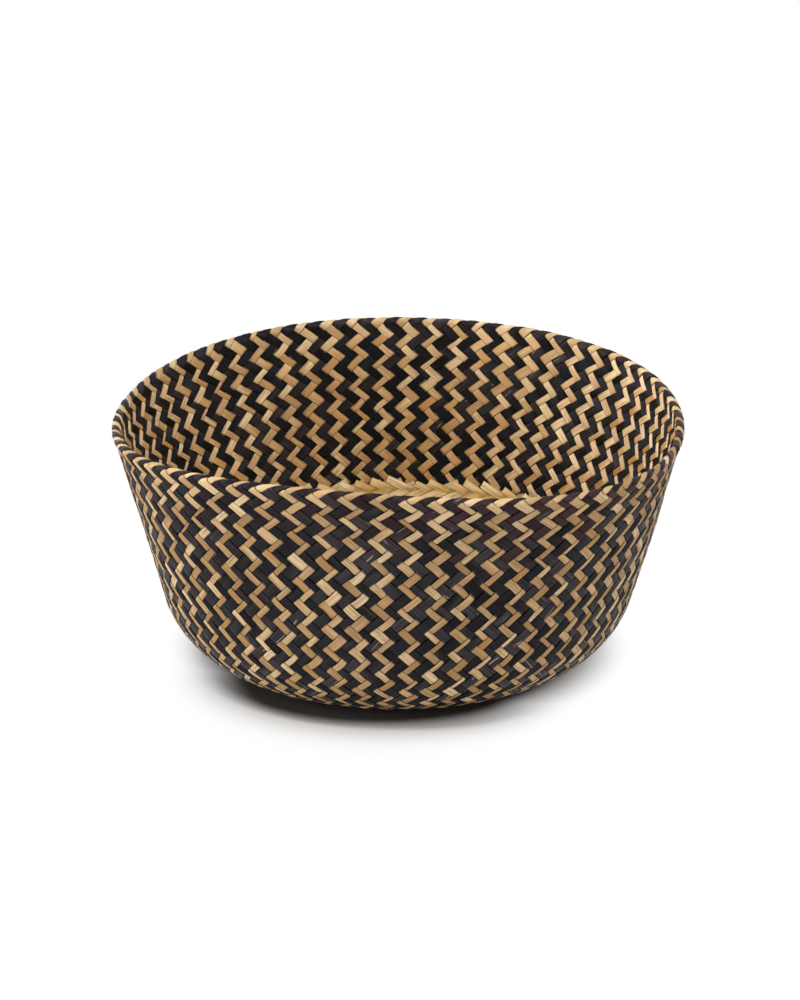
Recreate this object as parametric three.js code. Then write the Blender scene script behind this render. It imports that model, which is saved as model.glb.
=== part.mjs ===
// A round, soft basket plaited from flat strips of dried sedge, natural and dyed black in turn.
// Millimetres, +Z up. The origin is on the floor, under the middle of the base; the front faces -Y.
//
// The wall is a double mat. Its strips start tucked under the base, climb the outside, fold over
// the rim and run down inside again. The base is a second mat of natural strips that turns up
// inside the wall and stops there in a ring of cut ends. Each mat has two layers of strips, one
// rising to the right and one to the left, and each layer is one sheet here: the strips of a layer
// lie edge to edge, and the over and under of the plait is flattened out.

import * as THREE from 'three';

const { degToRad } = THREE.MathUtils;

// Overall form
const rimRadius = 175;
const height = 153.5;
const wallLean = degToRad(15);
const heelRadius = 50;

// Strips and the room between layers
const stripThickness = 0.7;
const layerGap = 0.3;
const stripCount = 128;
const wrapSlope = degToRad(40);
const wrapRelief = 0.6;

// Where the mats overlap: under the base, at the rim and inside, above the heel
const footTuck = 12;
const rimLeg = 6;
const rimBulge = 0.7;
const baseTurnUp = 20;
const innerTuck = 8;
const baseShiftLength = 8;
const cutEndHeight = 6;
const baseLayerGap = 0.6;

// How the soft rim departs from a level circle
const rimSquareness = 2.5;
const rimSaddle = 6;
const rimSaddleAt = degToRad(76);
const rimTilt = 1.5;
const rimTiltAt = degToRad(-127);
const rimRipple = 1.7;
const rimRippleAt = degToRad(125);

// Fineness of the curves
const wallSegments = 48;
const rimSegments = 80;
const heelSteps = 4;
const wallSteps = 2;
const foldSteps = 2;

// Depths are measured inwards from the outer face of the wall
const layerPitch = stripThickness + layerGap;
const [outerRightDepth, outerLeftDepth, innerLeftDepth, innerRightDepth] =
  [0, 1, 2, 3].map((layer) => layer * layerPitch);
const wallThickness = innerRightDepth + stripThickness;
const baseLowDepth = innerLeftDepth;
const baseHighDepth = wallThickness + layerGap;
const baseLayerPitch = stripThickness + baseLayerGap;

// The section: a flat foot, a round heel and a straight leaning wall that ends in the fold
const foldRadius = wallThickness / 2;
const foldCentre = new THREE.Vector2(rimRadius - foldRadius, height - foldRadius);
const outward = new THREE.Vector2(Math.cos(wallLean), -Math.sin(wallLean));
const upward = new THREE.Vector2(Math.sin(wallLean), Math.cos(wallLean));
const heelCentre = new THREE.Vector2(
  (outward.dot(foldCentre) + foldRadius - heelRadius * (1 - Math.sin(wallLean))) / Math.cos(wallLean),
  heelRadius,
);
const wallLength = upward.dot(foldCentre) - upward.dot(heelCentre);
const wallTop = wallLength - rimLeg - layerGap;
const innerWallFoot = baseTurnUp - innerTuck;
const baseShiftEnd = innerWallFoot - layerGap;

// A point of the leaning wall, so far up it from the end of the heel
function wallPoint(depth, along) {
  return heelCentre.clone().addScaledVector(outward, heelRadius - depth).addScaledVector(upward, along);
}

// The round of the heel, from the floor to the start of the wall
function heelArc(depth) {
  const floor = -Math.PI / 2;
  return Array.from({ length: heelSteps + 1 }, (_, step) => {
    const turn = floor + (-wallLean - floor) * (step / heelSteps);
    const spoke = new THREE.Vector2(Math.cos(turn), Math.sin(turn));
    return heelCentre.clone().addScaledVector(spoke, heelRadius - depth);
  });
}

// A stretch of straight wall, in even steps
function wallRun(depth, from, to) {
  return Array.from({ length: wallSteps + 1 }, (_, step) =>
    wallPoint(depth, from + (to - from) * (step / wallSteps)));
}

// One side of an outer layer: tucked under the base, round the heel and up the wall
function outerSide(depth) {
  const tuckedEnd = new THREE.Vector2(heelCentre.x - footTuck, depth);
  return [tuckedEnd, ...heelArc(depth), ...wallRun(depth, 0, wallTop).slice(1)];
}

// One side of an inner layer, which hangs from the fold and stops behind the base's turned-up edge
function innerSide(depth) {
  return wallRun(depth, innerWallFoot, wallTop);
}

// One side of a base layer: from the middle, round the heel, and in over the end of the inner wall
function baseSide(layerDepth, edge) {
  const low = baseLowDepth + layerDepth;
  const high = baseHighDepth + layerDepth;
  return [
    new THREE.Vector2(0, low),
    ...heelArc(low),
    wallPoint(low, baseShiftEnd - baseShiftLength),
    wallPoint(high, baseShiftEnd),
    wallPoint(high, edge),
  ];
}

// A closed section from its outer side, read upwards, and its inner side
function closedSection(outer, inner) {
  return [...outer, ...inner.reverse(), outer[0].clone()];
}

// A base layer's section begins and ends on the axis
function baseSection(layerDepth, edge) {
  return [...baseSide(layerDepth, edge), ...baseSide(layerDepth + stripThickness, edge).reverse()];
}

// One face of the fold: up the outside, over the crest, where it stands a little fuller than the
// wall, and down the inside.
// Each point also has its path, the distance along the strip's way from the crest.
function foldSide(radius) {
  const quarter = (foldRadius * Math.PI) / 2;
  const arc = Array.from({ length: foldSteps }, (_, step) => {
    const turn = (Math.PI * (step + 0.5)) / foldSteps;
    const spoke = new THREE.Vector2(Math.cos(turn - wallLean), Math.sin(turn - wallLean));
    const point = foldCentre.clone().addScaledVector(spoke, radius + rimBulge);
    return Object.assign(point, { path: foldRadius * turn - quarter });
  });
  const legEnd = wallLength - rimLeg;
  const outerEnd = Object.assign(wallPoint(foldRadius - radius, legEnd), { path: -quarter - rimLeg });
  const innerEnd = Object.assign(wallPoint(foldRadius + radius, legEnd), { path: quarter + rimLeg });
  return [outerEnd, ...arc, innerEnd];
}

// The fold's section between two radii
function foldSection(outerRadius, innerRadius) {
  const outer = foldSide(outerRadius);
  const closing = Object.assign(outer[0].clone(), { path: outer[0].path });
  return [...outer, ...foldSide(innerRadius).reverse(), closing];
}

// How far the soft wall has moved from a true round, growing with height and nil on the floor
function swayedPoint(radius, angle, level) {
  const share = level / height;
  const out = radius - share * rimSquareness * Math.cos(4 * angle);
  const saddle = rimSaddle * Math.cos(2 * (angle - rimSaddleAt));
  const tilt = rimTilt * Math.cos(angle - rimTiltAt);
  const ripple = rimRipple * Math.cos(3 * (angle - rimRippleAt));
  const lift = share * share * (saddle + tilt + ripple);
  return new THREE.Vector3(out * Math.cos(angle), out * Math.sin(angle), level + lift);
}

// Turn sections about the axis, one after another in turn round it, and let the result sway.
// A point with a path is carried round by the slope of the strip that it lies on.
function revolve(sections, segments) {
  const geometry = new THREE.LatheGeometry(sections[0], segments);
  const positions = geometry.attributes.position;
  const pointCount = sections[0].length;
  for (let index = 0; index < positions.count; index += 1) {
    const spoke = Math.floor(index / pointCount) % segments;
    const point = sections[spoke % sections.length][index % pointCount];
    const travel = (point.path ?? 0) / Math.tan(wrapSlope) / rimRadius;
    const angle = (2 * Math.PI * spoke) / segments + travel;
    const placed = point.x === 0 ? new THREE.Vector3(0, 0, point.y) : swayedPoint(point.x, angle, point.y);
    positions.setXYZ(index, placed.x, placed.y, placed.z);
  }
  geometry.computeVertexNormals();
  return geometry;
}

function sedge(color, roughness) {
  return new THREE.MeshStandardMaterial({ color, roughness, metalness: 0 });
}

function namedMesh(name, geometry, material) {
  const mesh = new THREE.Mesh(geometry, material);
  mesh.name = name;
  return mesh;
}

function outerWallLayer(name, depth, color) {
  const section = closedSection(outerSide(depth), outerSide(depth + stripThickness));
  return namedMesh(name, revolve([section], wallSegments), sedge(color, 0.6));
}

function innerWallLayer(name, depth, color) {
  const section = closedSection(innerSide(depth), innerSide(depth + stripThickness));
  return namedMesh(name, revolve([section], wallSegments), sedge(color, 0.65));
}

// The under layer of the rim is smooth, because the wraps hide it
function rimUnderLayer() {
  const outerRadius = foldRadius - outerLeftDepth;
  const section = foldSection(outerRadius, outerRadius - stripThickness);
  return namedMesh('rim_left_strips', revolve([section], rimSegments), sedge('#54463a', 0.6));
}

// The upper layer shows every strip as a slanted wrap: a crown and a groove in turn
function rimWraps() {
  const innerRadius = foldRadius - stripThickness;
  const crown = foldSection(foldRadius + wrapRelief / 2, innerRadius);
  const groove = foldSection(foldRadius - wrapRelief / 2, innerRadius);
  return namedMesh('rim_right_strips', revolve([crown, groove], 2 * stripCount), sedge('#8a6c48', 0.55));
}

function baseUnderLayer() {
  const section = baseSection(0, baseTurnUp - cutEndHeight);
  return namedMesh('base_right_strips', revolve([section], wallSegments), sedge('#b98d52', 0.7));
}

// The upper base layer stops in a ring of points: the corners of square-cut strips, one at every
// second strip of the wall
function baseCutEndLayer() {
  const tip = baseSection(baseLayerPitch, baseTurnUp);
  const notch = baseSection(baseLayerPitch, baseTurnUp - cutEndHeight);
  return namedMesh('base_left_strips', revolve([tip, notch], stripCount), sedge('#c39a5f', 0.7));
}

const basket = new THREE.Group();
basket.add(
  outerWallLayer('outer_wall_right_strips', outerRightDepth, '#5a4a39'),
  outerWallLayer('outer_wall_left_strips', outerLeftDepth, '#6b573e'),
  innerWallLayer('inner_wall_left_strips', innerLeftDepth, '#6b573e'),
  innerWallLayer('inner_wall_right_strips', innerRightDepth, '#77603f'),
  rimUnderLayer(),
  rimWraps(),
  baseUnderLayer(),
  baseCutEndLayer(),
);

export default basket;
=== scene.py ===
"""Seagrass basket, plaited from flat strips of natural and black-dyed sedge.

The wall is one twill mat: its strips start under the base, climb the outside, fold over the rim and
run down inside. The base is a second mat of natural strips, whose cut ends show inside above the heel.
Metres, +Z up, the front faces -Y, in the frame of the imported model.
"""

import logging
import math
from dataclasses import dataclass, field, replace
from enum import Enum
from typing import Any, NamedTuple

import bpy
import numpy as np
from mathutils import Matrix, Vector


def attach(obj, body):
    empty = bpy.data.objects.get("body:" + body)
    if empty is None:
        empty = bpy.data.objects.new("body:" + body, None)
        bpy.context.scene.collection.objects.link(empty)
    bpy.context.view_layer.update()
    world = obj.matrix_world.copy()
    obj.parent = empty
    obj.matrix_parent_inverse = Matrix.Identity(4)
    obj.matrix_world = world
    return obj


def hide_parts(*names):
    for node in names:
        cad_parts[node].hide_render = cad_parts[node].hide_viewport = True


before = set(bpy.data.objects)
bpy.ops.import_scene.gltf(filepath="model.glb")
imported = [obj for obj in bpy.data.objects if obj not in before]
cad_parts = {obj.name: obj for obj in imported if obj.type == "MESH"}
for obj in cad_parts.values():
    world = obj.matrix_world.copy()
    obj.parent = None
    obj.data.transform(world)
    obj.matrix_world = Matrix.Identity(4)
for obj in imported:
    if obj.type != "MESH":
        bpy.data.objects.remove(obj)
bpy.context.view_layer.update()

LOG = logging.getLogger("basket")
MM = 0.001
BODY = "root"

# Most values of a noise texture lie between these two.
NOISE_RANGE = (0.3, 0.7)

NodeTree = bpy.types.NodeTree
Socket = bpy.types.NodeSocket


class Hand(Enum):
    """The way a strip leans as it climbs, seen from outside."""

    RIGHT = "right"
    LEFT = "left"

    @property
    def sign(self) -> float:
        """1 for the right and -1 for the left."""
        return 1.0 if self is Hand.RIGHT else -1.0

    @property
    def crossed(self) -> "Hand":
        """The lean of the strips that these cross."""
        return Hand.LEFT if self is Hand.RIGHT else Hand.RIGHT


class Dye(Enum):
    """The two colours of strip."""

    NATURAL = "natural"
    BLACK = "black"


class Side(Enum):
    """The two sides of the double wall."""

    OUTER = "outer"
    INNER = "inner"


class Section(NamedTuple):
    """Points of a mat's middle surface in the r-z plane, with the direction of its showing face."""

    radius: np.ndarray
    level: np.ndarray
    out: np.ndarray
    up: np.ndarray


def smooth_step(value: np.ndarray) -> np.ndarray:
    """Ease from 0 to 1 with level ends.

    Args:
        value: Progress, where 0 is the start and 1 the end.

    Returns:
        The eased progress.
    """
    clipped = np.clip(value, 0.0, 1.0)
    return clipped * clipped * (3.0 - 2.0 * clipped)


def linear_colour(code: str) -> tuple[float, float, float, float]:
    """Turn an sRGB hex colour to linear light.

    Args:
        code: Six hex digits after a hash sign.

    Returns:
        Linear red, green, blue and a full alpha.
    """
    levels = [int(code[start:start + 2], 16) / 255.0 for start in (1, 3, 5)]
    linear = [v / 12.92 if v <= 0.04045 else ((v + 0.055) / 1.055) ** 2.4 for v in levels]
    return (linear[0], linear[1], linear[2], 1.0)


def add_node(tree: NodeTree, kind: str, inputs: dict[str | int, Any] | None = None,
             **settings: Any) -> bpy.types.Node:
    """Add a node with its settings and inputs.

    Args:
        tree: Node tree to add to.
        kind: Node type, without the ShaderNode in front.
        inputs: For each input socket, a value, the output socket that feeds it, or a node of which the
            first output does.
        settings: Properties of the node.

    Returns:
        The new node.
    """
    node = tree.nodes.new(f"ShaderNode{kind}")
    for name, value in settings.items():
        setattr(node, name, value)
    for name, value in (inputs or {}).items():
        source = value.outputs[0] if isinstance(value, bpy.types.Node) else value
        if isinstance(source, Socket):
            tree.links.new(source, node.inputs[name])
        else:
            node.inputs[name].default_value = source
    return node


def shown_rays(tree: NodeTree) -> Socket:
    """Tell the rays that show a surface from those that only carry its light to others.

    Args:
        tree: Node tree to add to.

    Returns:
        1 for a ray from the camera, straight or by way of a gloss or glass, and 0 for others.
    """
    rays = add_node(tree, "LightPath")
    mirrored = add_node(tree, "Math", {
        0: rays.outputs["Is Glossy Ray"], 1: rays.outputs["Is Transmission Ray"]}, operation="MAXIMUM")
    shown = add_node(tree, "Math", {0: rays.outputs["Is Camera Ray"], 1: mirrored}, operation="MAXIMUM")
    return shown.outputs["Value"]


@dataclass(frozen=True)
class BasketForm:
    """The basket's shape: one section turned about the axis, then moved as the soft wall sways."""

    rim_radius: float = 175.0 * MM
    height: float = 153.5 * MM
    wall_lean: float = math.radians(15.0)
    heel_radius: float = 57.0 * MM
    wall_thickness: float = 3.7 * MM
    foot_tuck: float = 12.0 * MM
    mat_depth: float = 0.82 * MM
    rim_bulge: float = 0.85 * MM
    rim_swell: float = 9.0 * MM
    inner_foot: float = 9.0 * MM
    base_low_depth: float = 3.0 * MM
    base_high_depth: float = 4.8 * MM
    base_turn_up: float = 15.0 * MM
    base_shift_start: float = 2.7 * MM
    base_shift_length: float = 6.0 * MM
    rim_squareness: float = 2.5 * MM
    rim_saddle: float = 6.0 * MM
    rim_saddle_at: float = math.radians(76.0)
    rim_tilt: float = 1.5 * MM
    rim_tilt_at: float = math.radians(-127.0)
    rim_ripple: float = 1.7 * MM
    rim_ripple_at: float = math.radians(125.0)
    wall_unevenness: float = 0.5 * MM

    @property
    def outward(self) -> np.ndarray:
        """Direction out of the leaning wall, in r and z."""
        return np.array([math.cos(self.wall_lean), -math.sin(self.wall_lean)])

    @property
    def upward(self) -> np.ndarray:
        """Direction up the leaning wall, in r and z."""
        return np.array([math.sin(self.wall_lean), math.cos(self.wall_lean)])

    @property
    def fold_centre(self) -> np.ndarray:
        """Centre of the fold over the rim."""
        half = self.wall_thickness / 2.0
        return np.array([self.rim_radius - half, self.height - half])

    @property
    def heel_centre(self) -> np.ndarray:
        """Centre of the round between floor and wall."""
        reach = self.outward @ self.fold_centre + self.wall_thickness / 2.0
        spare = self.heel_radius * (1.0 - math.sin(self.wall_lean))
        return np.array([(reach - spare) / math.cos(self.wall_lean), self.heel_radius])

    @property
    def wall_length(self) -> float:
        """Straight length of the wall between heel and fold."""
        return float(self.upward @ (self.fold_centre - self.heel_centre))

    @property
    def heel_turn(self) -> float:
        """Angle through which the heel turns from floor to wall."""
        return math.pi / 2.0 - self.wall_lean

    @property
    def fold_radius(self) -> float:
        """Radius of the fold, at the middle of the mat, which stands fuller than the wall."""
        return self.wall_thickness / 2.0 - self.mat_depth + self.rim_bulge

    @property
    def outer_length(self) -> float:
        """Length of the mat from the crest, down the outside, to its end under the base."""
        heel = (self.heel_radius - self.mat_depth) * self.heel_turn
        return self.fold_radius * math.pi / 2.0 + self.wall_length + heel + self.foot_tuck

    @property
    def inner_length(self) -> float:
        """Length of the mat from the crest down the inside, to its end behind the base mat."""
        return self.fold_radius * math.pi / 2.0 + self.wall_length - self.inner_foot

    @property
    def base_length(self) -> float:
        """Length of the base mat from the axis to its cut ends."""
        heel = (self.heel_radius - self.base_low_depth) * self.heel_turn
        return float(self.heel_centre[0]) + heel + self.base_turn_up

    def wall_section(self, path: np.ndarray) -> Section:
        """Follow the wall mat from under the base, over the crest and down inside.

        Args:
            path: Distance from the crest along the mat, below 0 outside and above 0 inside.

        Returns:
            The section's points and facing.
        """
        quarter = self.fold_radius * math.pi / 2.0
        in_fold = np.abs(path) < quarter
        below = np.abs(path) - quarter
        along = np.clip(self.wall_length - below, 0.0, self.wall_length)
        heel_mid = self.heel_radius - self.mat_depth
        swing = np.clip((below - self.wall_length) / heel_mid, 0.0, self.heel_turn)
        tucked = np.maximum(0.0, below - self.wall_length - heel_mid * self.heel_turn)
        inside = path > 0.0
        outer_turn = -self.wall_lean - swing
        swell = self.rim_bulge * (1.0 - smooth_step(below / self.rim_swell))
        inner_mid = self.heel_radius - self.wall_thickness + self.mat_depth
        reach = np.where(inside, inner_mid - swell, heel_mid + swell)
        wall_r = self.heel_centre[0] + self.upward[0] * along + reach * np.cos(outer_turn) - tucked
        wall_z = self.heel_centre[1] + self.upward[1] * along + reach * np.sin(outer_turn)
        fold_turn = self.heel_turn + path / self.fold_radius
        wall_turn = np.where(inside, math.pi - self.wall_lean, outer_turn)
        turn = np.where(in_fold, fold_turn, wall_turn)
        fold_r = self.fold_centre[0] + self.fold_radius * np.cos(fold_turn)
        fold_z = self.fold_centre[1] + self.fold_radius * np.sin(fold_turn)
        return Section(np.where(in_fold, fold_r, wall_r), np.where(in_fold, fold_z, wall_z),
                       np.cos(turn), np.sin(turn))

    def base_section(self, path: np.ndarray) -> Section:
        """Follow the base mat from the axis, across the floor and up inside the wall.

        Args:
            path: Distance from the axis along the mat.

        Returns:
            The section's points and facing.
        """
        heel_start = self.heel_centre[0]
        heel_mid = self.heel_radius - self.base_low_depth
        swing = np.clip((path - heel_start) / heel_mid, 0.0, self.heel_turn)
        along = np.maximum(0.0, path - heel_start - heel_mid * self.heel_turn)
        shift = smooth_step((along - self.base_shift_start) / self.base_shift_length)
        depth = self.base_low_depth + (self.base_high_depth - self.base_low_depth) * shift
        turn = swing - math.pi / 2.0
        reach = self.heel_radius - depth
        centre_r = np.minimum(path, heel_start) + self.upward[0] * along
        centre_z = self.heel_centre[1] + self.upward[1] * along
        return Section(centre_r + reach * np.cos(turn), centre_z + reach * np.sin(turn),
                       -np.cos(turn), -np.sin(turn))

    def place(self, section: Section, angle: np.ndarray, lift: np.ndarray) -> np.ndarray:
        """Put points of a mat in space, with the sway of the soft wall, and pressed flat on the floor.

        Args:
            section: Points of the mat's middle surface.
            angle: Angle of each point about the axis.
            lift: Height of each point over the middle surface.

        Returns:
            One row of x, y and z for each point.
        """
        radius = section.radius + section.out * lift
        level = section.level + section.up * lift
        share = level / self.height
        belly = np.sin(math.pi * np.clip(share, 0.0, 1.0))
        # Slow dents in two sets that lean opposite ways, as a soft wall gets by handling
        waves = np.sin(5.0 * angle + 4.0 * share) + 0.8 * np.sin(8.0 * angle - 7.0 * share + 1.0)
        radius = radius - share * self.rim_squareness * np.cos(4.0 * angle)
        radius = radius + self.wall_unevenness * belly * waves
        saddle = self.rim_saddle * np.cos(2.0 * (angle - self.rim_saddle_at))
        tilt = self.rim_tilt * np.cos(angle - self.rim_tilt_at)
        ripple = self.rim_ripple * np.cos(3.0 * (angle - self.rim_ripple_at))
        level = np.maximum(0.0, level + share * share * (saddle + tilt + ripple))
        return np.column_stack([radius * np.cos(angle), radius * np.sin(angle), level])


@dataclass
class StripEdges:
    """The edges between neighbouring strips of one set, as a hand leaves them, in strip widths."""

    count: int
    seed: int
    even_growth: float = 0.0
    scatter: float = 0.11
    most_scatter: float = 0.22
    wander: float = 0.08
    wander_rows: tuple[float, float] = (5.0, 11.0)
    inside_share: float = 0.3
    fade_rows: float = 2.0
    faded_row: float = 0.5
    lean: np.ndarray = field(init=False)
    shift: np.ndarray = field(init=False)
    phase: np.ndarray = field(init=False)
    rows: np.ndarray = field(init=False)

    def __post_init__(self) -> None:
        """Draw each edge's own offset and slow wander."""
        rng = np.random.default_rng(self.seed)
        odd = np.arange(self.count) % 2
        self.lean = np.where(odd == 0, self.even_growth, -self.even_growth) / 2.0
        drawn = rng.normal(0.0, self.scatter, self.count)
        self.shift = np.clip(drawn, -self.most_scatter, self.most_scatter)
        self.phase = rng.uniform(0.0, 2.0 * math.pi, self.count)
        self.rows = rng.uniform(*self.wander_rows, self.count)

    def moved(self, edge: np.ndarray, row: np.ndarray) -> np.ndarray:
        """How far an edge has moved at a row.

        Args:
            edge: Number of each edge, which lies above the strip of that number.
            row: Row of the plait.

        Returns:
            The offset in strip widths.
        """
        number = edge % self.count
        drift = self.wander * np.sin(2.0 * math.pi * row / self.rows[number] + self.phase[number])
        faded = smooth_step((row + self.fade_rows) / (self.fade_rows + self.faded_row))
        lean = self.lean[number] * (1.0 - (1.0 - self.inside_share) * faded)
        return self.shift[number] + lean + drift

    def warp(self, position: np.ndarray, row: np.ndarray) -> np.ndarray:
        """Move even strip positions to where the hand put them.

        Args:
            position: Position across the set, where strip n lies at n.
            row: Row of the plait.

        Returns:
            The moved position.
        """
        edge = np.floor(position - 0.5).astype(int)
        between = position - 0.5 - edge
        return position + (1.0 - between) * self.moved(edge, row) + between * self.moved(edge + 1, row)


@dataclass(frozen=True)
class Twill:
    """The over-two, under-two step of the plait, and how a strip sits in it."""

    over: float = 2.0
    first_dive: float = -0.5
    strip_thickness: float = 0.4 * MM
    lift: float = 0.32 * MM
    crown: float = 0.13 * MM
    dive: float = 0.28
    edge_gap: float = 0.045
    waist: float = 0.02
    under_spread: float = 0.07

    def step(self, crossing: np.ndarray) -> np.ndarray:
        """Over or under, at a place along a strip.

        Args:
            crossing: Place along the strip, counted in crossings.

        Returns:
            1 where right-leaning strips lie on top, -1 where left-leaning ones do, 0 between.
        """
        phase = np.mod(crossing - self.first_dive, 2.0 * self.over)
        past = np.mod(phase, self.over)
        nearest = np.minimum(past, self.over - past)
        ease = np.sin(np.clip(nearest / self.dive, 0.0, 1.0) * math.pi / 2.0)
        return np.where(phase < self.over, ease, -ease)

    def float_number(self, crossing: np.ndarray) -> np.ndarray:
        """Number of the float, from one dive to the next, in which a place along a strip lies."""
        return np.floor((crossing - self.first_dive) / self.over).astype(int)

    def float_share(self, crossing: np.ndarray) -> np.ndarray:
        """How far along its float a place lies, from 0 to 1."""
        return np.mod(crossing - self.first_dive, self.over) / self.over

    def half_width(self, step: np.ndarray) -> np.ndarray:
        """Half the width of a strip: pinched in a dive, and flat and full below.

        Args:
            step: 1 where the strip lies over, -1 where it lies under.

        Returns:
            Half the width, in strip widths.
        """
        pinch = self.edge_gap + self.waist * (1.0 - np.abs(step))
        below = np.clip(-step, 0.0, 1.0)
        return 0.5 - pinch + below * (self.edge_gap + self.under_spread)

    def height(self, step: np.ndarray, across: np.ndarray) -> np.ndarray:
        """Height of a strip's face over the middle of the mat.

        Args:
            step: 1 where the strip lies over, -1 where it lies under.
            across: Place across the strip, from -1 to 1.

        Returns:
            Height in metres.
        """
        return self.lift * step + self.strip_thickness / 2.0 + self.crown * (1.0 - across * across)


class StripField:
    """Flat strips laid side by side, as they are before they are plaited."""

    spacing: float = 2.0
    smooth_angle: float = math.radians(50.0)

    def __init__(self, name: str, strips: int, steps: int, faces_across: int) -> None:
        """Lay the strips out.

        Args:
            name: Name of the piece.
            strips: Number of strips.
            steps: Number of faces along a strip.
            faces_across: Number of faces across a strip.
        """
        bpy.ops.object.select_all(action="DESELECT")
        bpy.ops.mesh.primitive_grid_add(x_subdivisions=faces_across, y_subdivisions=steps, size=1.0)
        self.piece = bpy.context.object
        self.piece.name = name
        self.piece.data.name = name
        repeat = self.piece.modifiers.new("strips", "ARRAY")
        repeat.count = strips
        repeat.use_relative_offset = False
        repeat.use_constant_offset = True
        repeat.constant_offset_displace = (self.spacing, 0.0, 0.0)
        bpy.ops.object.modifier_apply(modifier=repeat.name)
        flat = np.empty(len(self.piece.data.vertices) * 3)
        self.piece.data.vertices.foreach_get("co", flat)
        flat = flat.reshape(-1, 3)
        self.number = np.rint(flat[:, 0] / self.spacing).astype(int)
        self.across = 2.0 * (flat[:, 0] - self.spacing * self.number)
        self.step = np.rint((flat[:, 1] + 0.5) * steps).astype(int)

    def wrap(self, points: np.ndarray) -> None:
        """Move the flat strips to their place in the plait."""
        self.piece.data.vertices.foreach_set("co", points.ravel())
        self.piece.data.update()

    def mark(self, **marks: np.ndarray) -> None:
        """Keep values of each point, for the finish to read.

        Args:
            marks: The values, by name.
        """
        for name, values in marks.items():
            layer = self.piece.data.attributes.new(name, "FLOAT", "POINT")
            layer.data.foreach_set("value", values.astype(np.float32))

    def unroll(self, across: np.ndarray, along: np.ndarray) -> None:
        """Give the strips a UV map in metres, across and along.

        Args:
            across: Distance of each point from the strip's middle.
            along: Distance of each point along the strip.
        """
        mesh = self.piece.data
        corners = np.empty(len(mesh.loops), dtype=np.int32)
        mesh.loops.foreach_get("vertex_index", corners)
        mesh.uv_layers[0].name = "strip"
        mesh.uv_layers[0].data.foreach_set("uv", np.column_stack([across, along])[corners].ravel())

    def thicken(self, thickness: float) -> None:
        """Give the strips their thickness below the showing face.

        Args:
            thickness: Thickness of a strip.
        """
        bpy.ops.object.select_all(action="DESELECT")
        self.piece.select_set(True)
        bpy.context.view_layer.objects.active = self.piece
        shell = self.piece.modifiers.new("thickness", "SOLIDIFY")
        shell.thickness = thickness
        shell.offset = -1.0
        bpy.ops.object.modifier_apply(modifier=shell.name)
        bpy.ops.object.shade_smooth_by_angle(angle=self.smooth_angle)

    def dress(self, material: bpy.types.Material, slot: str, nodes: tuple[str, ...]) -> None:
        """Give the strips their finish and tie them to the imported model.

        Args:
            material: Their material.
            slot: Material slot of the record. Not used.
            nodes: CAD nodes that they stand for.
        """
        self.piece.data.materials.clear()
        self.piece.data.materials.append(material)
        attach(self.piece, BODY)
        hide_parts(*nodes)
        triangles = sum(len(face.vertices) - 2 for face in self.piece.data.polygons)
        LOG.info("%s: %d triangles", self.piece.name, triangles)


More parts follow.
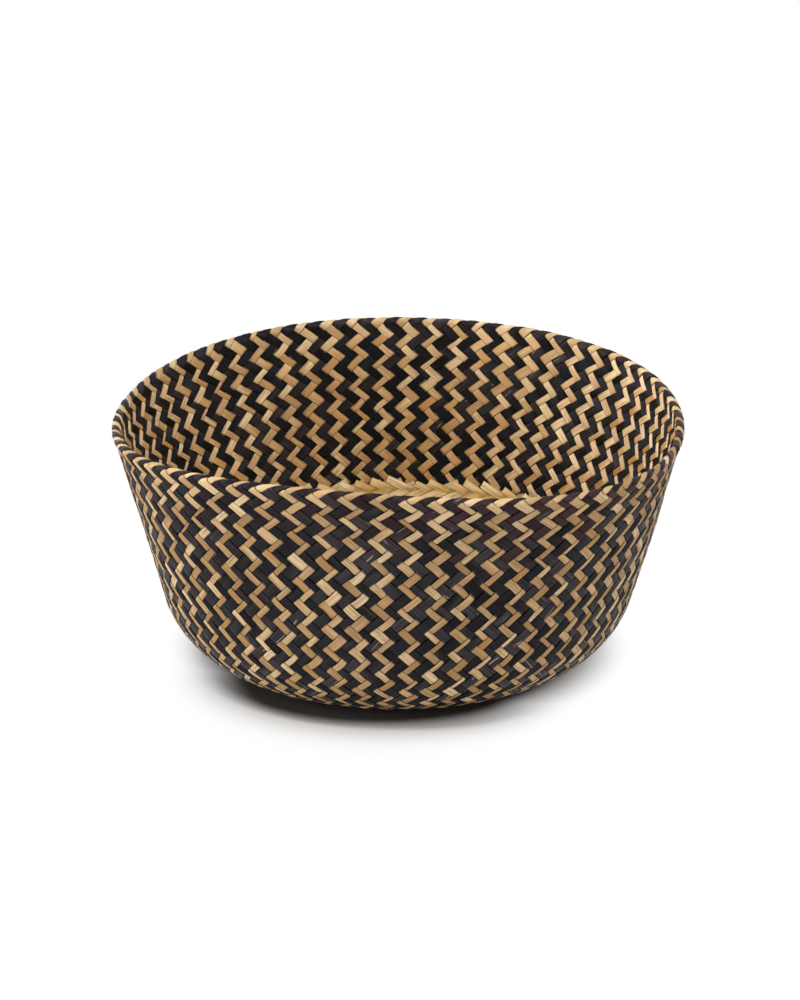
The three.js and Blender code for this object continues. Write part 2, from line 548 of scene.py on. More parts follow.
@dataclass
class WallPlait:
    """The wall's mat: two sets of strips on one lattice, natural and black in turn."""

    form: BasketForm
    twill: Twill
    strip_count: int = 128
    row: float = 7.7 * MM
    inner_row: float = 6.7 * MM
    upper_pinch: float = 1.7 * MM
    upper_rows: float = 4.7
    heel_pinch: float = 0.8 * MM
    heel_row: float = 15.0
    crest_row: float = 0.15
    crest_stretch: float = 0.2 * MM
    crest_ease: float = 0.15
    inner_stretch: float = 1.2 * MM
    inner_ease: float = 0.5
    crest_drift: float = 0.45
    drift_rows: float = 0.3
    drift_lead: float = 0.6
    front_angle: float = math.radians(-90.5)
    right_shrink: float = 0.27
    left_shrink: float = 0.08
    right_join: float = 2.5
    left_join: float = 0.5
    faces_across: int = 3
    shown_places: tuple[float, ...] = (0.75, 1.25)
    crest_span: tuple[float, float] = (-1.5, 1.9)
    crest_spacing: float = 0.19
    least_spacing: float = 0.05
    row_samples: int = 2000
    crossing_length: float = 5.1 * MM
    strip_stagger: float = 0.731
    seed: int = 11

    def __post_init__(self) -> None:
        """Draw the edges of both sets; natural strips are even on the right, odd on the left."""
        self.edges = {
            Hand.RIGHT: StripEdges(self.strip_count, self.seed, even_growth=-self.right_shrink),
            Hand.LEFT: StripEdges(self.strip_count, self.seed + 1, even_growth=self.left_shrink),
        }

    @property
    def strip_angle(self) -> float:
        """Angle about the axis from one strip to the next."""
        return 2.0 * math.pi / self.strip_count

    def path(self, row: np.ndarray) -> np.ndarray:
        """Distance from the crest at a row of the plait.

        Outside, rows lie closer in the upper part and again round the heel.

        Args:
            row: Row, counted up the outside, over the crest and down the inside.

        Returns:
            Distance along the mat, below 0 outside.
        """
        past = row - self.crest_row
        rows = np.abs(past)
        upper = np.logaddexp(0.0, self.upper_rows) - np.logaddexp(0.0, self.upper_rows - rows)
        heel = np.logaddexp(0.0, rows - self.heel_row)
        outside = self.row * rows - self.upper_pinch * upper - self.heel_pinch * heel
        outside = outside + self.crest_stretch * np.tanh(rows / self.crest_ease)
        inside = self.inner_row * rows + self.inner_stretch * np.tanh(rows / self.inner_ease)
        return np.where(past < 0.0, -outside, inside)

    def drift(self, row: np.ndarray) -> np.ndarray:
        """How far the fold carries the mat to the right, in strips."""
        progress = (row - self.crest_row) / self.drift_rows / 2.0 + self.drift_lead
        return self.crest_drift * smooth_step(progress)

    def last_row(self, side: Side) -> float:
        """Row at the end of the mat on one side.

        Args:
            side: Outer or inner side of the wall.

        Returns:
            The row there.
        """
        rows = np.linspace(0.0, self.strip_count / 2.0, self.row_samples)
        if side is Side.OUTER:
            down = np.interp(self.form.outer_length, -self.path(self.crest_row - rows), rows)
            return float(self.crest_row - down)
        down = np.interp(self.form.inner_length, self.path(self.crest_row + rows), rows)
        return float(self.crest_row + down)

    def crossings(self, hand: Hand, side: Side) -> np.ndarray:
        """Places along a strip at which the mesh has a line of points, closer where it dives.

        Args:
            hand: Set of strips.
            side: Outer or inner side. The two meet where the strip lies hidden under another.

        Returns:
            The places, in crossings, from the foot towards the inside.
        """
        twill = self.twill
        join = self.right_join if hand is Hand.RIGHT else self.left_join
        first, last = sorted([2.0 * self.last_row(side), join])
        first_dive = twill.over * math.floor((first - twill.first_dive) / twill.over) + twill.first_dive
        dives = np.arange(first_dive, last + twill.over, twill.over)
        into = np.array([0.0, twill.dive / 2.0, twill.dive])
        hidden_run = np.concatenate([into, twill.over - into[1:]])
        shown_run = np.concatenate([hidden_run, self.shown_places])
        shown = (twill.float_number(dives) % 2 == 0) == (hand is Hand.RIGHT)
        places = np.concatenate([dives[shown, None] + shown_run, dives[~shown, None] + hidden_run], axis=None)
        at_crest = np.arange(*self.crest_span, self.crest_spacing)
        places = np.unique(np.round(np.concatenate([places, at_crest, [first, last]]), 3))
        places = places[(places >= round(first, 3)) & (places <= round(last, 3))]
        return places[np.concatenate([[True], np.diff(places) > self.least_spacing])]

    def locate(self, hand: Hand, index: np.ndarray, along: np.ndarray,
               offset: np.ndarray) -> tuple[np.ndarray, np.ndarray]:
        """Find where places on the strips come to lie, once the edges of both sets are moved.

        Args:
            hand: Set of strips.
            index: Strip number of each place.
            along: Place along the strip, in crossings.
            offset: Place across the strip, in strip widths.

        Returns:
            Row of the plait and angle about the axis.
        """
        even_row = (along - hand.sign * offset) / 2.0
        own = self.edges[hand].warp(index + offset, even_row)
        crossed = self.edges[hand.crossed].warp(index + hand.sign * along, even_row)
        row = hand.sign * (crossed - own) / 2.0
        column = (own + crossed) / 2.0 - 1.0 + self.drift(row)
        return row, self.front_angle + self.strip_angle * column


@dataclass
class WallStrips:
    """All strips of one lean and one colour, on one side of the wall."""

    plait: WallPlait
    hand: Hand
    dye: Dye
    side: Side
    float_arch: float = 0.1 * MM
    float_scatter: float = 0.09 * MM
    float_roll: float = 0.08 * MM
    left_bow: float = 0.05
    float_bow: float = 0.05
    wrap_puff: float = 0.3 * MM
    wrap_span: float = 1.2
    float_seed: int = 16
    tone_seed: int = 32

    @property
    def name(self) -> str:
        """Name of the piece."""
        return f"{self.side.value}_wall_{self.hand.value}_{self.dye.value}_strips"

    @property
    def nodes(self) -> tuple[str, ...]:
        """CAD nodes that the piece stands for."""
        wall = f"{self.side.value}_wall_{self.hand.value}_strips"
        return (wall, f"rim_{self.hand.value}_strips") if self.side is Side.OUTER else (wall,)

    def build(self) -> StripField:
        """Lay the strips, plait them into the wall and give them thickness.

        Returns:
            The finished strips, without a material.
        """
        plait, twill = self.plait, self.plait.twill
        places = plait.crossings(self.hand, self.side)
        strips = StripField(self.name, plait.strip_count // 2, len(places) - 1, plait.faces_across)
        odd = (self.dye is Dye.NATURAL) != (self.hand is Hand.RIGHT)
        index = 2 * strips.number + int(odd)
        along = places[strips.step]
        step = self.hand.sign * twill.step(along)
        rise, roll, shift = self.loose_floats(index, along, step)
        offset = strips.across * twill.half_width(step) + shift
        lift = twill.height(step, strips.across) + rise + roll * strips.across
        swell = self.wrap_puff * np.exp(-np.square(along / self.wrap_span))
        lift = lift + swell * (1.0 - np.square(strips.across))
        row, angle = plait.locate(self.hand, index, along, offset)
        section = plait.form.wall_section(plait.path(row))
        strips.wrap(plait.form.place(section, angle, lift))
        width = plait.strip_angle * section.radius * offset
        strips.unroll(width, along * plait.crossing_length + index * plait.strip_stagger)
        strips.mark(across=strips.across, over=step, tone=self.tones()[index])
        strips.thicken(twill.strip_thickness)
        return strips

    def loose_floats(self, index: np.ndarray, along: np.ndarray,
                     step: np.ndarray) -> tuple[np.ndarray, np.ndarray, np.ndarray]:
        """How each float stands a little high or low, rolls to one side and bows to one side.

        Args:
            index: Strip number of each point.
            along: Place along the strip.
            step: Over or under there.

        Returns:
            Extra height and the height of its roll in metres, and the bow in strip widths.
        """
        rng = np.random.default_rng(self.float_seed)
        count, twill = self.plait.strip_count, self.plait.twill
        floats = twill.float_number(along) % count
        scatters = (self.float_scatter, self.float_roll, self.float_bow)
        drawn = [np.clip(rng.normal(0.0, size, (count, count)), -2.0 * size, 2.0 * size) for size in scatters]
        high, rolled, bowed = (values[index, floats] for values in drawn)
        free = np.clip(step, 0.0, 1.0)
        arch = np.where(step > 0.0, np.sin(math.pi * twill.float_share(along)), 0.0)
        lean = self.left_bow if self.hand is Hand.LEFT else 0.0
        return free * high + self.float_arch * arch, free * rolled, arch * (bowed + lean)

    def tones(self) -> np.ndarray:
        """A tone for each strip of this lean, from 0 to 1."""
        rng = np.random.default_rng(self.tone_seed + int(self.hand is Hand.LEFT))
        return rng.uniform(0.0, 1.0, self.plait.strip_count)


@dataclass
class BaseMat:
    """The natural mat of the base: strips straight across the floor, turned up inside the wall.

    Place on the mat is counted in strips from the middle, along two square axes. Where the two counts
    add up to the reach, the mat has become a full ring of ends, and from there the strips climb aslant,
    at one width and so ever flatter.
    """

    form: BasketForm
    twill: Twill
    strips_each_way: int = 36
    strip_width: float = 5.4 * MM
    ring_path: float = 84.0 * MM
    bend_start: float = 0.75
    bend_length: float = 0.6
    turned: float = math.radians(45.0)
    end_crossing: float = 3.4
    end_drop: float = 4.0 * MM
    end_scatter: float = 0.28
    under_rows: float = 0.25
    end_rise: float = 0.3 * MM
    end_run: float = 3.0
    open_crossing: float = 2.5
    edge_scatter: float = 0.06
    edge_wander: float = 0.03
    axis_gap: float = 0.01
    path_samples: int = 240
    steps: int = 300
    faces_across: int = 3
    crossing_length: float = 7.0 * MM
    strip_stagger: float = 0.731
    seed: int = 31
    paths: np.ndarray = field(init=False)
    rows: np.ndarray = field(init=False)
    skew: float = field(init=False)

    def __post_init__(self) -> None:
        """Work out the path at each row, and how far a square cut runs along a strip at the ends."""
        last = self.form.base_length + 2.0 * self.strip_width
        self.paths = np.linspace(self.ring_path, last, self.path_samples)
        pitch = self.turn * self.form.base_section(self.paths).radius
        rise = self.strip_width * pitch / np.sqrt(pitch * pitch - self.strip_width * self.strip_width)
        rows = np.diff(self.paths) * (1.0 / rise[1:] + 1.0 / rise[:-1]) / 2.0
        self.rows = np.concatenate([[0.0], np.cumsum(rows)])
        slope = np.interp(self.form.base_length, self.paths, rise / pitch)
        self.skew = float((1.0 - slope * slope) / (1.0 + slope * slope))

    @property
    def reach(self) -> float:
        """Number of strips from the middle to the ring of ends."""
        return self.strips_each_way / 2.0

    @property
    def turn(self) -> float:
        """Angle about the axis from one strip to the next in the ring."""
        return math.pi / 2.0 / self.reach

    @property
    def last_row(self) -> float:
        """Rows from the ring of ends to the middle of a cut end."""
        return float(np.interp(self.form.base_length - self.end_drop, self.paths, self.rows))

    def spot(self, cross: np.ndarray, run: np.ndarray) -> tuple[np.ndarray, np.ndarray]:
        """Distance from the axis and angle for a place on the mat.

        Args:
            cross: Count of strips along the first axis.
            run: Count of strips along the second axis.

        Returns:
            Path from the axis along the mat, and angle about the axis.
        """
        total = np.abs(cross) + np.abs(run)
        swing = self.turn * (np.abs(cross) - np.abs(run) + self.reach) / 2.0
        climbed = np.interp((total - self.reach) / 2.0, self.rows, self.paths)
        path = np.where(total > self.reach, climbed, self.ring_path * total / self.reach)
        ring = path[:, None] * np.column_stack([np.sin(swing) * np.sign(cross), np.cos(swing) * np.sign(run)])
        square = self.strip_width * np.column_stack([cross, run])
        bent = smooth_step((total / self.reach - self.bend_start) / self.bend_length)[:, None]
        flat = (1.0 - bent) * square + bent * ring
        return np.hypot(flat[:, 0], flat[:, 1]), np.arctan2(flat[:, 0], flat[:, 1]) + self.turned

    def build(self, hand: Hand) -> StripField:
        """Lay the strips of one direction, plait them and give them thickness.

        Args:
            hand: Which of the two directions.

        Returns:
            The finished strips, without a material.
        """
        name = f"base_{hand.value}_natural_strips"
        strips = StripField(name, self.strips_each_way, self.steps, self.faces_across)
        centre = strips.number - self.reach + 0.5
        way = 2.0 * strips.step / self.steps - 1.0
        leans_left = np.sign(centre) * np.sign(way) * hand.sign < 0.0
        rng = np.random.default_rng(self.seed + (1 if hand is Hand.RIGHT else 2))
        scatter = rng.uniform(-self.end_scatter, self.end_scatter, (self.strips_each_way, 2))
        cut = np.where(leans_left, 0.0, self.under_rows) + scatter[strips.number, (way > 0.0).astype(int)]
        limit = self.reach - np.abs(centre) + 2.0 * (self.last_row - cut)
        run = way * limit
        step = self.step(hand, centre, run, leans_left)
        near_end = smooth_step(1.0 - (limit - np.abs(run)) / self.end_run)
        half_width = np.maximum(self.twill.half_width(step), near_end * (0.5 - self.twill.edge_gap))
        offset = -hand.sign * strips.across * half_width
        edges = StripEdges(self.strips_each_way, self.seed, scatter=self.edge_scatter,
                           wander=self.edge_wander)
        cross = edges.warp(centre + offset + self.reach - 0.5, run / 2.0) - self.reach + 0.5
        cross = np.where(np.sign(cross) == np.sign(centre), cross, self.axis_gap * np.sign(centre))
        squared = run + np.sign(run) * (np.abs(cross) - np.abs(centre)) * self.skew * near_end
        lift = self.twill.height(step, strips.across) + self.end_rise * near_end * leans_left
        path, angle = self.spot(cross, squared) if hand is Hand.RIGHT else self.spot(squared, cross)
        strips.wrap(self.form.place(self.form.base_section(path), angle, lift))
        strips.unroll((cross - centre) * self.strip_width,
                      run * self.crossing_length + strips.number * self.strip_stagger)
        tones = rng.uniform(0.0, 1.0, self.strips_each_way)
        strips.mark(across=strips.across, over=step, tone=tones[strips.number])
        strips.thicken(self.twill.strip_thickness)
        return strips

    def step(self, hand: Hand, centre: np.ndarray, run: np.ndarray, leans_left: np.ndarray) -> np.ndarray:
        """Over or under, at a place on the strips. Ends that lean to the left lie open on top.

        Args:
            hand: Which of the two directions.
            centre: Place of the strip, counted in strips from the middle of the mat.
            run: Place along the strip, counted in strips from its own middle.
            leans_left: Where the strip leans to the left as it climbs.

        Returns:
            1 where the strip lies over, -1 where it lies under.
        """
        crossing = np.abs(centre) + np.abs(run) + self.end_crossing - self.reach - 2.0 * self.last_row
        flip = np.sin(np.clip(run / self.twill.dive, -1.0, 1.0) * math.pi / 2.0) * np.sign(centre)
        step = self.twill.step(crossing) * flip * hand.sign
        return np.where(leans_left & (crossing > self.open_crossing), 1.0, step)


@dataclass(frozen=True)
class SedgeFinish:
    """Dried sedge, split flat and rubbed smooth, natural or vat-dyed.

    Fibres are about a quarter of a millimetre wide, too fine to show, and are drawn in bundles.
    A range holds the values at which a change starts and at which it is full.
    """

    name: str
    slot: str
    deep: str
    body: str
    pale: str
    fibre: str
    fibre_strength: float
    split: str
    split_strength: float
    tint: str
    tint_strength: float
    rim: str
    rim_strength: float
    roughness: float
    gloss: float
    gleam: str
    anisotropy: float = 1.0
    ior: float = 1.5
    fibre_dull: float = 0.1
    fibre_shine: float = 0.08
    fibre_width: float = 1.0 * MM
    fibre_length: float = 45.0 * MM
    fibre_range: tuple[float, float] = (0.54, 0.4)
    relief: float = 0.06 * MM
    relief_strength: float = 0.7
    grain_roughness: float = 0.6
    patch_width: float = 9.0 * MM
    patch_length: float = 17.0 * MM
    patch_share: float = 0.55
    tone_range: tuple[float, float] = (0.32, 0.68)
    tone_shuffle: float = 7.0
    split_from: float = 0.45
    split_ease: float = 0.1
    split_width: float = 0.14
    split_wander: float = 1.2
    split_length: float = 60.0 * MM
    split_run: float = 13.0 * MM
    torn_range: tuple[float, float] = (0.52, 0.58)
    tint_size: float = 30.0 * MM
    tint_range: tuple[float, float] = (0.44, 0.66)
    # Rim colour: real wear on black strips, a painted highlight on natural ones.
    rim_level: float = 146.0 * MM
    rim_depth: float = 14.0 * MM
    rim_ease: float = 12.0 * MM
    rim_side: tuple[float, float, float] = (0.8, -0.6, 0.0)
    rim_side_range: tuple[float, float] = (30.0 * MM, 150.0 * MM)
    rim_far_share: float = 1.0
    rim_evenness: float = 0.4
    # Painted shade, with some dust, at a strip's edges and where it dives under another.
    edge_from: float = 0.82
    edge_shade: float = 0.45
    sunk_range: tuple[float, float] = (0.35, -0.1)
    sunk_shade: float = 0.12

    def material(self) -> bpy.types.Material:
        """Make the material, with its fibres along the strip.

        Returns:
            The material.
        """
        material = bpy.data.materials.new(self.name)
        material.use_nodes = True
        tree = material.node_tree
        shader = tree.nodes["Principled BSDF"]
        fibre = self.grain(tree, 1.0 / self.fibre_width, 1.0 / self.fibre_length)
        colour = self.fibred(tree, self.toned(tree), fibre)
        colour = self.split_open(tree, colour)
        colour = self.tinted(tree, colour)
        # Wear on black strips and a painted highlight on natural ones, at the rim.
        colour = self.wear_and_rim_highlight(tree, colour)
        # Painted shade, with some dust, in the seams and dives.
        colour = self.sunk(tree, colour)
        bump = add_node(tree, "Bump", {
            "Strength": self.relief_strength, "Distance": self.relief, "Height": fibre})
        satin = add_node(tree, "MapRange", {
            "Value": fibre, "From Min": NOISE_RANGE[0], "From Max": NOISE_RANGE[1],
            "To Min": self.roughness + self.fibre_dull, "To Max": self.roughness - self.fibre_shine})
        across = add_node(tree, "Tangent", direction_type="UV_MAP", uv_map="strip")
        tree.links.new(colour, shader.inputs["Base Color"])
        tree.links.new(satin.outputs["Result"], shader.inputs["Roughness"])
        tree.links.new(bump.outputs["Normal"], shader.inputs["Normal"])
        tree.links.new(across.outputs["Tangent"], shader.inputs["Tangent"])
        shader.inputs["Anisotropic"].default_value = self.anisotropy
        shader.inputs["IOR"].default_value = self.ior
        shader.inputs["Specular IOR Level"].default_value = self.gloss
        shader.inputs["Specular Tint"].default_value = linear_colour(self.gleam)
        return material

    def grain(self, tree: NodeTree, across: float, along: float, detail: float = 3.0) -> Socket:
        """Noise drawn out along the strip.

        Args:
            tree: Node tree of the material.
            across: Cells in a metre across the strip, or 0 for none.
            along: Cells in a metre along the strip.
            detail: Finer steps of the noise.

        Returns:
            The noise, from 0 to 1.
        """
        strip = add_node(tree, "UVMap", uv_map="strip")
        space = add_node(tree, "Mapping", {"Vector": strip, "Scale": (across, along, 1.0)})
        noise = add_node(tree, "TexNoise", {
            "Vector": space, "Scale": 1.0, "Detail": detail, "Roughness": self.grain_roughness})
        return noise.outputs["Fac"]

    def toned(self, tree: NodeTree) -> Socket:
        """Colour by strip, and by patches along each strip.

        Args:
            tree: Node tree of the material.

        Returns:
            The colour.
        """
        tone = add_node(tree, "Attribute", attribute_name="tone")
        patch = self.grain(tree, 1.0 / self.patch_width, 1.0 / self.patch_length)
        blend = add_node(tree, "Mix", {
            0: self.patch_share, 2: tone.outputs["Fac"], 3: patch}, data_type="FLOAT")
        spread = add_node(tree, "MapRange", {
            "Value": blend, "From Min": self.tone_range[0], "From Max": self.tone_range[1]})
        ramp = add_node(tree, "ValToRGB", {"Fac": spread})
        ramp.color_ramp.elements[0].color = linear_colour(self.deep)
        ramp.color_ramp.elements[1].color = linear_colour(self.pale)
        ramp.color_ramp.elements.new(0.5).color = linear_colour(self.body)
        return ramp.outputs["Color"]

    def fibred(self, tree: NodeTree, colour: Socket, fibre: Socket) -> Socket:
        """Draw bundles of fibres in a second colour.

        Args:
            tree: Node tree of the material.
            colour: Colour so far.
            fibre: Noise of the fibres.

        Returns:
            The colour with fibres.
        """
        line = add_node(tree, "MapRange", {
            "Value": fibre, "From Min": self.fibre_range[0], "From Max": self.fibre_range[1],
            "To Max": self.fibre_strength})
        drawn = add_node(tree, "Mix", {0: line, 6: colour, 7: linear_colour(self.fibre)}, data_type="RGBA")
        return drawn.outputs[2]

    def split_open(self, tree: NodeTree, colour: Socket) -> Socket:
        """Draw short torn lines along some strips, wandering across the strip.

        Args:
            tree: Node tree of the material.
            colour: Colour so far.

        Returns:
            The colour with torn lines.
        """
        across = add_node(tree, "Attribute", attribute_name="across")
        tone = add_node(tree, "Attribute", attribute_name="tone")
        middle = add_node(tree, "MapRange", {
            "Value": self.grain(tree, 0.0, 1.0 / self.split_length, 0.0),
            "From Min": NOISE_RANGE[0], "From Max": NOISE_RANGE[1],
            "To Min": -self.split_wander, "To Max": self.split_wander}, clamp=False)
        beside = add_node(tree, "Math", {0: across.outputs["Fac"], 1: middle}, operation="SUBTRACT")
        away = add_node(tree, "Math", {0: beside}, operation="ABSOLUTE")
        cracked = add_node(tree, "MapRange", {
            "Value": tone.outputs["Fac"], "From Min": self.split_from,
            "From Max": self.split_from + self.split_ease, "To Max": self.split_strength})
        torn = add_node(tree, "MapRange", {
            "Value": self.grain(tree, 0.0, 1.0 / self.split_run, 0.0),
            "From Min": self.torn_range[0], "From Max": self.torn_range[1], "To Max": cracked})
        line = add_node(tree, "MapRange", {
            "Value": away, "From Min": self.split_width / 2.0, "From Max": self.split_width,
            "To Min": torn, "To Max": 0.0})
        drawn = add_node(tree, "Mix", {0: line, 6: colour, 7: linear_colour(self.split)}, data_type="RGBA")
        return drawn.outputs[2]

    def tinted(self, tree: NodeTree, colour: Socket) -> Socket:
        """Shift the colour in broad regions.

        Args:
            tree: Node tree of the material.
            colour: Colour so far.

        Returns:
            The shifted colour.
        """
        place = add_node(tree, "TexCoord")
        region = add_node(tree, "TexNoise", {
            "Vector": place.outputs["Object"], "Scale": 1.0 / self.tint_size, "Detail": 1.0})
        share = add_node(tree, "MapRange", {
            "Value": region.outputs["Fac"], "From Min": self.tint_range[0], "From Max": self.tint_range[1],
            "To Max": self.tint_strength})
        broad = add_node(tree, "Mix", {0: share, 6: colour, 7: linear_colour(self.tint)}, data_type="RGBA")
        return broad.outputs[2]

    def wear_and_rim_highlight(self, tree: NodeTree, colour: Socket) -> Socket:
        """Colour the rim and the wall below it, further down on some strips, and more on one side: plum wear
        on black strips, and on natural strips a painted highlight, paler where the top of the rim faces the
        light.

        Args:
            tree: Node tree of the material.
            colour: Colour so far.

        Returns:
            The colour with wear and the painted highlight.
        """
        place = add_node(tree, "TexCoord")
        axes = add_node(tree, "SeparateXYZ", {"Vector": place.outputs["Object"]})
        toward = add_node(tree, "VectorMath", {
            0: place.outputs["Object"], 1: self.rim_side}, operation="DOT_PRODUCT")
        most = add_node(tree, "MapRange", {
            "Value": toward.outputs["Value"],
            "From Min": self.rim_side_range[0], "From Max": self.rim_side_range[1],
            "To Min": self.rim_strength * self.rim_far_share, "To Max": self.rim_strength})
        tone = add_node(tree, "Attribute", attribute_name="tone")
        shuffled = add_node(tree, "Math", {
            0: tone.outputs["Fac"], 1: self.tone_shuffle}, operation="MULTIPLY")
        own = add_node(tree, "Math", {0: shuffled}, operation="FRACT")
        wear_and_highlight_share = add_node(tree, "MapRange", {"Value": own, "From Min": -self.rim_evenness, "To Max": most})
        level = add_node(tree, "Math", {
            0: own, 1: self.rim_depth, 2: axes.outputs["Z"]}, operation="MULTIPLY_ADD")
        share = add_node(tree, "MapRange", {
            "Value": level, "From Min": self.rim_level, "From Max": self.rim_level + self.rim_ease,
            "To Max": wear_and_highlight_share})
        # Wear on black strips; on natural strips a painted highlight on top of the rim.
        wear_and_highlight_mixed = add_node(tree, "Mix", {0: share, 6: colour, 7: linear_colour(self.rim)}, data_type="RGBA")
        return wear_and_highlight_mixed.outputs[2]

    def sunk(self, tree: NodeTree, colour: Socket) -> Socket:
        """Darken the edges of a strip and the strip where it dives: painted shade in the seams and dives,
        with some dust.

        Args:
            tree: Node tree of the material.
            colour: Colour so far.

        Returns:
            The darkened colour.
        """
        across = add_node(tree, "Attribute", attribute_name="across")
        over = add_node(tree, "Attribute", attribute_name="over")
        edge = add_node(tree, "Math", {0: across.outputs["Fac"]}, operation="ABSOLUTE")
        # Painted shade, with some dust, along the seams between strips.
        edge_dust_and_shade = add_node(tree, "MapRange", {
            "Value": edge, "From Min": self.edge_from, "From Max": 1.0,
            "To Min": 1.0, "To Max": self.edge_shade})
        # Painted shade where the strip dives under the crossing one.
        dive = add_node(tree, "MapRange", {
            "Value": over.outputs["Fac"], "From Min": self.sunk_range[0], "From Max": self.sunk_range[1],
            "To Min": 1.0, "To Max": self.sunk_shade})
        shade = add_node(tree, "Math", {0: edge_dust_and_shade, 1: dive}, operation="MULTIPLY")
        shaded = add_node(tree, "Mix", {0: 1.0, 6: colour, 7: shade}, data_type="RGBA", blend_type="MULTIPLY")
        return shaded.outputs[2]


# Undyed sedge dries to straw and light brown, with darker fibres along it. Its satin face gleams across the
# fibres, so that a strip looks pale or golden by the way that it runs. Its paler rim colour is a painted
# highlight where the top of the rim faces the light.
NATURAL_OUTSIDE = SedgeFinish(
    name="natural_sedge_dried_split", slot="natural_sedge", deep="#9a774b", body="#bc996c", pale="#d9be95",
    fibre="#7f592f", fibre_strength=0.65, split="#5a3f23", split_strength=0.65,
    tint="#ab793c", tint_strength=0.35, rim="#e4c594", rim_strength=0.5, roughness=0.68, gloss=1.0,
    gleam="#fff0d2")

# Inside, away from light and hands, it keeps more of its golden colour.
NATURAL_INSIDE = replace(
    NATURAL_OUTSIDE, name="natural_sedge_unfaded", deep="#a67b44", body="#c19964", pale="#dfc291",
    tint="#bf823e", tint_strength=0.45, ior=1.7, gleam="#fff3dc")

# The base's natural strips are painted paler than the wall's: a painted highlight where their cut ends lie
# open to the light from above.
NATURAL_BASE = replace(
    NATURAL_INSIDE, name="natural_sedge_painted_lit", deep="#deb878", body="#efd49a", pale="#f8e8bd",
    fibre="#b0874f", fibre_strength=0.5, sunk_shade=0.75, edge_shade=0.7, tint_strength=0.15,
    ior=1.5, gleam="#fff0d2")

# Dye sinks in unevenly: charcoal with a cool cast, darker bundles of fibre, a few pale torn fibres, and
# plum brown where hands and light have worn the upper wall and the rim, most of all on one side.
BLACK_OUTSIDE = SedgeFinish(
    name="black_sedge_vat_dyed", slot="black_sedge", deep="#171314", body="#252020", pale="#3f393a",
    fibre="#0f0b0a", fibre_strength=0.7, split="#d8cdbf", split_strength=0.85, split_from=0.89,
    tint="#1b2025", tint_strength=0.6, rim="#43292b", rim_strength=0.75, rim_depth=48.0 * MM,
    rim_far_share=0.15, roughness=0.5, gloss=0.12, gleam="#f6f0ff", edge_shade=0.2)

# Inside, the dye is unworn: nearly black, with a blue-green cast.
BLACK_INSIDE = replace(
    BLACK_OUTSIDE, name="black_sedge_unfaded", deep="#0e0b09", body="#1b1716", pale="#332d2c",
    tint="#141c1d", tint_strength=0.55, split_from=0.92, rim_strength=0.0)


class Lamp(NamedTuple):
    """A broad, distant lamp: its light on a face turned to it, where it hangs and how wide it is."""

    name: str
    strength: float
    place: tuple[float, float, float]
    spread: float


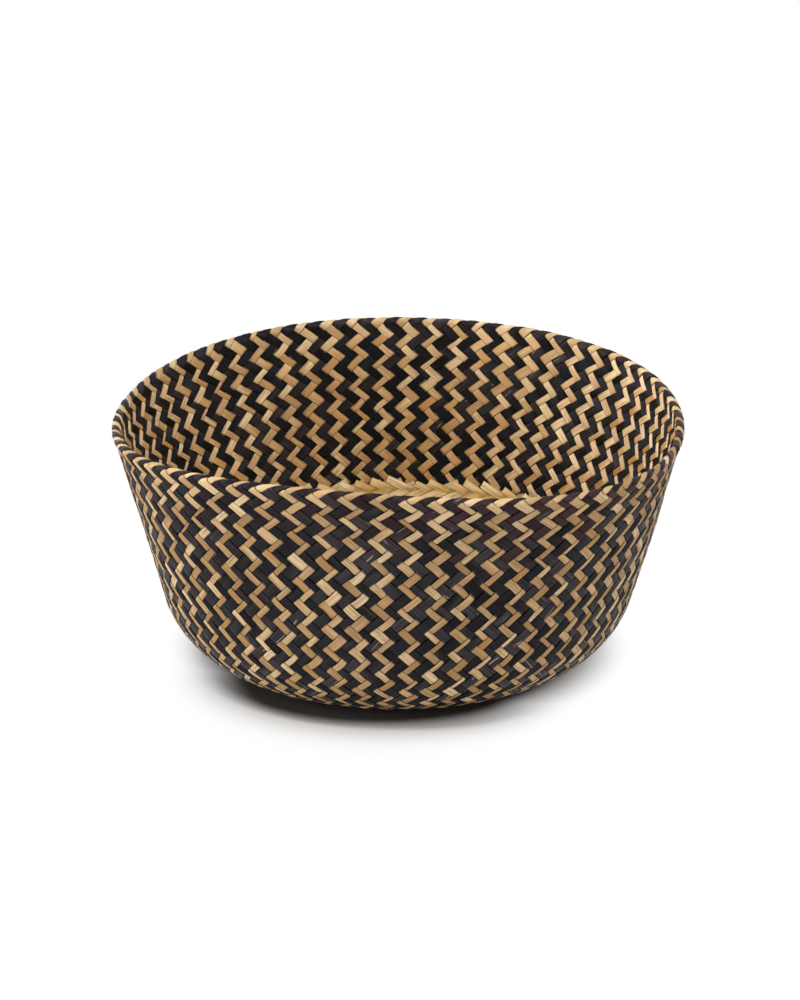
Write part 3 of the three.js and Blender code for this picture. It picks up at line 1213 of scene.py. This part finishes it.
@dataclass(frozen=True)
class Studio:
    """A pale floor, soft light all round and the camera of the photograph."""

    camera_elevation: float = math.radians(20.52)
    camera_distance: float = 2.1
    target: tuple[float, float, float] = (0.0011, 0.0, 0.0946)
    focal_pixels: float = 3426.87
    image_height: int = 1000
    sensor_width: float = 36.0
    clip_end: float = 50.0
    floor_size: float = 14.0
    floor_colour: str = "#dedede"
    floor_roughness: float = 0.9
    floor_gloss: float = 0.1
    # A painted shadow under the heel: its colour, centre and the ring over which it fades.
    painted_shadow_colour: str = "#3e3b38"
    painted_shadow_centre: tuple[float, float, float] = (-0.012, -0.009, 0.0)
    painted_shadow_radius: float = 0.107
    painted_shadow_edge: float = 0.122
    shadow_centre: tuple[float, float, float] = (-0.012, -0.048, 0.0)
    shadow_radius: float = 0.08
    white_radius: float = 0.13
    foot_radius: float = 0.105
    clear_radius: float = 0.145
    world_strength: float = 0.2
    lamps: tuple[Lamp, ...] = (
        Lamp("top_lamp", 2.35, (-0.03, -0.24, 0.97), math.radians(18.0)),
        Lamp("front_lamp", 0.6, (0.1, -0.9, 0.42), math.radians(60.0)),
        Lamp("left_lamp", 2.9, (-0.94, -0.1, 0.19), math.radians(36.0)),
        Lamp("right_lamp", 0.8, (0.8, -0.5, 0.16), math.radians(24.0)),
    )

    def build(self) -> None:
        """Make the floor, the light and the camera."""
        self.build_floor()
        self.build_light()
        self.build_camera()

    def build_floor(self) -> None:
        """Lay a matt floor with a painted shadow, darkest in the crevice under the heel, that goes to white
        past the shadow.
        """
        bpy.ops.object.select_all(action="DESELECT")
        bpy.ops.mesh.primitive_plane_add(size=self.floor_size, location=(0.0, 0.0, 0.0))
        floor = bpy.context.object
        floor.name = "studio_floor"
        material = bpy.data.materials.new("floor_matt_paper")
        material.use_nodes = True
        tree = material.node_tree
        paper = tree.nodes["Principled BSDF"]
        paper.inputs["Roughness"].default_value = self.floor_roughness
        paper.inputs["Specular IOR Level"].default_value = self.floor_gloss
        rays = add_node(tree, "LightPath")
        # A painted shadow: a dark ring in the floor's colour under the heel, seen by the camera only.
        under_heel = self.eased_ring(tree, self.painted_shadow_centre, self.painted_shadow_edge, self.painted_shadow_radius)
        painted_shadow_share = add_node(tree, "Math", {
            0: under_heel, 1: rays.outputs["Is Camera Ray"]}, operation="MULTIPLY")
        shaded = add_node(tree, "Mix", {
            0: painted_shadow_share, 6: linear_colour(self.floor_colour), 7: linear_colour(self.painted_shadow_colour)},
            data_type="RGBA")
        tree.links.new(shaded.outputs[2], paper.inputs["Base Color"])
        past_shadow = self.eased_ring(tree, self.shadow_centre, self.shadow_radius, self.white_radius)
        past_foot = self.eased_ring(tree, (0.0, 0.0, 0.0), self.foot_radius, self.clear_radius)
        bare = add_node(tree, "Math", {0: past_shadow, 1: past_foot}, operation="MINIMUM")
        share = add_node(tree, "Math", {0: bare, 1: shown_rays(tree)}, operation="MULTIPLY")
        white = add_node(tree, "Emission", {"Color": (1.0, 1.0, 1.0, 1.0), "Strength": 1.0})
        mixed = add_node(tree, "MixShader", {0: share, 1: paper, 2: white})
        tree.links.new(mixed.outputs["Shader"], tree.nodes["Material Output"].inputs["Surface"])
        floor.data.materials.append(material)

    def eased_ring(self, tree: NodeTree, centre: tuple[float, float, float], start: float,
                   full: float) -> Socket:
        """Go from 0 to 1 with the distance on the floor from a centre.

        Args:
            tree: Node tree of the floor.
            centre: Where the distance is measured from.
            start: Distance at which the value is 0.
            full: Distance at which it is 1, which may be the smaller one.

        Returns:
            The eased value.
        """
        place = add_node(tree, "TexCoord")
        away = add_node(tree, "VectorMath", {0: place.outputs["Object"], 1: centre}, operation="DISTANCE")
        eased = add_node(tree, "MapRange", {
            "Value": away.outputs["Value"], "From Min": start, "From Max": full},
            interpolation_type="SMOOTHSTEP")
        return eased.outputs["Result"]

    def build_light(self) -> None:
        """Set an even surround, white to the camera, and the lamps."""
        scene = bpy.context.scene
        scene.view_settings.view_transform = "Standard"
        world = bpy.data.worlds.new("studio_surround")
        world.use_nodes = True
        scene.world = world
        tree = world.node_tree
        tree.nodes.clear()
        strength = add_node(tree, "MapRange", {
            "Value": shown_rays(tree), "To Min": self.world_strength, "To Max": 1.0})
        surround = add_node(tree, "Background", {"Color": (1.0, 1.0, 1.0, 1.0), "Strength": strength})
        add_node(tree, "OutputWorld", {"Surface": surround})
        for lamp in self.lamps:
            data = bpy.data.lights.new(lamp.name, "SUN")
            data.energy = lamp.strength
            data.angle = lamp.spread
            hung = bpy.data.objects.new(lamp.name, data)
            hung.rotation_euler = Vector(lamp.place).to_track_quat("Z", "Y").to_euler()
            scene.collection.objects.link(hung)

    def build_camera(self) -> None:
        """Put the camera where the photograph was taken from."""
        data = bpy.data.cameras.new("photo_camera")
        data.sensor_width = self.sensor_width
        data.lens = self.focal_pixels * data.sensor_width / self.image_height
        data.clip_end = self.clip_end
        camera = bpy.data.objects.new("photo_camera", data)
        back = Vector((0.0, -math.cos(self.camera_elevation), math.sin(self.camera_elevation)))
        camera.location = Vector(self.target) + self.camera_distance * back
        camera.rotation_euler = back.to_track_quat("Z", "Y").to_euler()
        bpy.context.scene.collection.objects.link(camera)
        bpy.context.scene.camera = camera


def main() -> None:
    """Build the basket, the studio and the camera."""
    logging.basicConfig(level=logging.INFO, format="%(name)s: %(message)s")
    form = BasketForm()
    twill = Twill()
    finishes = {
        (Side.OUTER, Dye.NATURAL): NATURAL_OUTSIDE,
        (Side.OUTER, Dye.BLACK): BLACK_OUTSIDE,
        (Side.INNER, Dye.NATURAL): NATURAL_INSIDE,
        (Side.INNER, Dye.BLACK): BLACK_INSIDE,
    }
    plait = WallPlait(form, twill)
    for (side, dye), finish in finishes.items():
        material = finish.material()
        for hand in Hand:
            wall = WallStrips(plait, hand, dye, side)
            wall.build().dress(material, finish.slot, wall.nodes)
    base = BaseMat(form, Twill(dive=0.16, crown=0.2 * MM))
    material = NATURAL_BASE.material()
    for hand in Hand:
        base.build(hand).dress(material, NATURAL_BASE.slot, (f"base_{hand.value}_strips",))
    Studio().build()


if __name__ == "__main__":
    main()
